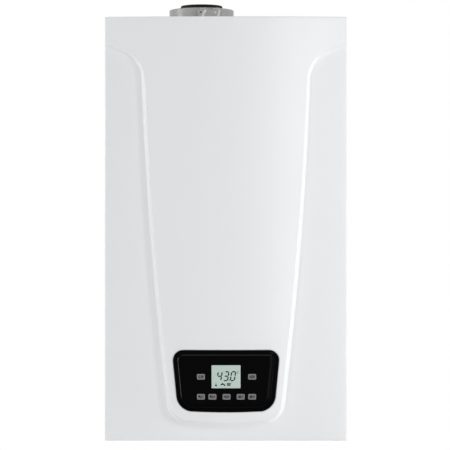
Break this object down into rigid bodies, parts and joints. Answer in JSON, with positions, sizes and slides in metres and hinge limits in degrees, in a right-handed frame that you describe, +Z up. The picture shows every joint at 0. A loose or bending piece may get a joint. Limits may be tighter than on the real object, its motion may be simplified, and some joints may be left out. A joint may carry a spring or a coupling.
{
  "type": "combi boiler",
  "caption": "Wall-hung gas combi boiler: white casing with a raised bowed shield, black control fascia with display and keys, concentric flue outlet on top.",
  "frame": {"origin": "middle of the wall bracket's two fixing holes, on the wall plane", "axes": "+X to the right seen from the front, +Y towards the wall, +Z up"},
  "size_m": [0.4, 0.2994, 0.7499],
  "materials": {
    "white_enamel": "gloss white powder coat",
    "zinc_sheet": "galvanised sheet",
    "zinc_screw": "zinc plated",
    "seal_rubber": "matte black",
    "flue_plastic": "satin grey",
    "flue_sleeve": "satin",
    "plug_plastic": "satin",
    "stainless": "satin stainless",
    "drum_composite": "satin dark composite",
    "cast_aluminium": "as cast",
    "ceramic": "glazed",
    "black_plastic": "satin",
    "copper": "drawn copper",
    "brass": "cast brass",
    "block_composite": "glass-filled composite",
    "wheel_plastic": "natural",
    "vessel_red": "satin red",
    "hose_rubber": "matte",
    "knob_red": "gloss",
    "box_plastic": "textured",
    "fascia_black": "polished black",
    "board_green": "solder mask",
    "display_glass": "backlit display",
    "key_grey": "satin"
  },
  "bodies": {
    "chassis": {"air_intake_duct": "black_plastic", "back_panel": "zinc_sheet", "bottom_tray": "zinc_sheet", "burner_door": "cast_aluminium", "burner_door_nuts": "zinc_screw", "burner_tube": "stainless", "casing_screws": "zinc_screw", "condensate_hose": "hose_rubber", "condensate_trap": "black_plastic", "diverter_block": "block_composite", "diverter_motor": "black_plastic", "exhaust_duct": "flue_sleeve", "expansion_vessel": "vessel_red", "fan_housing": "cast_aluminium", "fan_motor": "black_plastic", "flow_pipe": "copper", "flue_collar": "flue_plastic", "flue_inner_seal": "seal_rubber", "flue_inner_socket": "flue_sleeve", "flue_outer_seal": "seal_rubber", "gas_air_venturi": "black_plastic", "gas_pipe": "copper", "gas_valve": "cast_aluminium", "heat_exchanger_coil": "stainless", "heat_exchanger_shell": "drum_composite", "ignition_electrode": "ceramic", "narrow_pipe_tails": "copper", "plate_heat_exchanger": "stainless", "pump_body": "block_composite", "pump_motor": "black_plastic", "return_pipe": "copper", "safety_valve": "brass", "sampling_plugs": "plug_plastic", "side_panel_left": "white_enamel", "side_panel_right": "white_enamel", "top_panel": "zinc_sheet", "vessel_hose": "hose_rubber", "wall_bracket": "zinc_sheet", "wide_pipe_tails": "copper"},
    "front_cover": {"front_cover": "white_enamel", "front_cover_seal": "seal_rubber", "cover_screws": "zinc_screw"},
    "control_box": {"control_box": "box_plastic", "control_box_lid": "box_plastic", "control_fascia": "fascia_black", "circuit_board": "board_green", "display_board": "board_green", "display_window": "display_glass"},
    "fan_impeller": {"fan_impeller": "black_plastic"},
    "pump_impeller": {"pump_impeller": "wheel_plastic"},
    "diverter_stem": {"diverter_stem": "brass"},
    "flow_turbine": {"flow_turbine": "wheel_plastic"},
    "safety_valve_knob": {"safety_valve_knob": "knob_red"},
    "button_heating_down": {"button_heating_down": "key_grey"},
    "button_heating_up": {"button_heating_up": "key_grey"},
    "button_hot_water_down": {"button_hot_water_down": "key_grey"},
    "button_hot_water_up": {"button_hot_water_up": "key_grey"},
    "button_info": {"button_info": "key_grey"},
    "button_mode": {"button_mode": "key_grey"},
    "button_reset": {"button_reset": "key_grey"}
  },
  "joints": [
    {"name": "cover_slide", "type": "slide", "parent": "chassis", "child": "front_cover", "axis": [0, -1, 0], "range_m": [0, 0.4]},
    {"name": "control_box_tilt", "type": "hinge", "parent": "chassis", "child": "control_box", "pos_m": [0, -0.275, -0.6353], "axis": [1, 0, 0], "range_deg": [0, 85]},
    {"name": "fan_spin", "type": "hinge", "parent": "chassis", "child": "fan_impeller", "pos_m": [-0.138, -0.233, -0.19], "axis": [0, 1, 0], "continuous": true},
    {"name": "pump_spin", "type": "hinge", "parent": "chassis", "child": "pump_impeller", "pos_m": [0.112, -0.13, -0.4513], "axis": [0, 1, 0], "continuous": true},
    {"name": "diverter_slide", "type": "slide", "parent": "chassis", "child": "diverter_stem", "axis": [0, 1, 0], "range_m": [0, 0.008]},
    {"name": "flow_turbine_spin", "type": "hinge", "parent": "chassis", "child": "flow_turbine", "pos_m": [0.065, -0.105, -0.593], "axis": [0, 0, 1], "continuous": true},
    {"name": "safety_valve_turn", "type": "hinge", "parent": "chassis", "child": "safety_valve_knob", "pos_m": [0.169, -0.125, -0.595], "axis": [0, 1, 0], "range_deg": [0, 90]},
    {"name": "press_heating_down", "type": "slide", "parent": "control_box", "child": "button_heating_down", "axis": [0, 1, 0], "range_m": [0, 0.0012], "stiffness_N_per_m": 1500},
    {"name": "press_heating_up", "type": "slide", "parent": "control_box", "child": "button_heating_up", "axis": [0, 1, 0], "range_m": [0, 0.0012], "stiffness_N_per_m": 1500},
    {"name": "press_hot_water_down", "type": "slide", "parent": "control_box", "child": "button_hot_water_down", "axis": [0, 1, 0], "range_m": [0, 0.0012], "stiffness_N_per_m": 1500},
    {"name": "press_hot_water_up", "type": "slide", "parent": "control_box", "child": "button_hot_water_up", "axis": [0, 1, 0], "range_m": [0, 0.0012], "stiffness_N_per_m": 1500},
    {"name": "press_info", "type": "slide", "parent": "control_box", "child": "button_info", "axis": [0, 1, 0], "range_m": [0, 0.0012], "stiffness_N_per_m": 1500},
    {"name": "press_mode", "type": "slide", "parent": "control_box", "child": "button_mode", "axis": [0, 1, 0], "range_m": [0, 0.0012], "stiffness_N_per_m": 1500},
    {"name": "press_reset", "type": "slide", "parent": "control_box", "child": "button_reset", "axis": [0, 1, 0], "range_m": [0, 0.0012], "stiffness_N_per_m": 1500}
  ],
  "couplings": [
    {"joint": "control_box_tilt", "follows": "cover_slide", "rad_per_m": 3.7085}
  ]
}
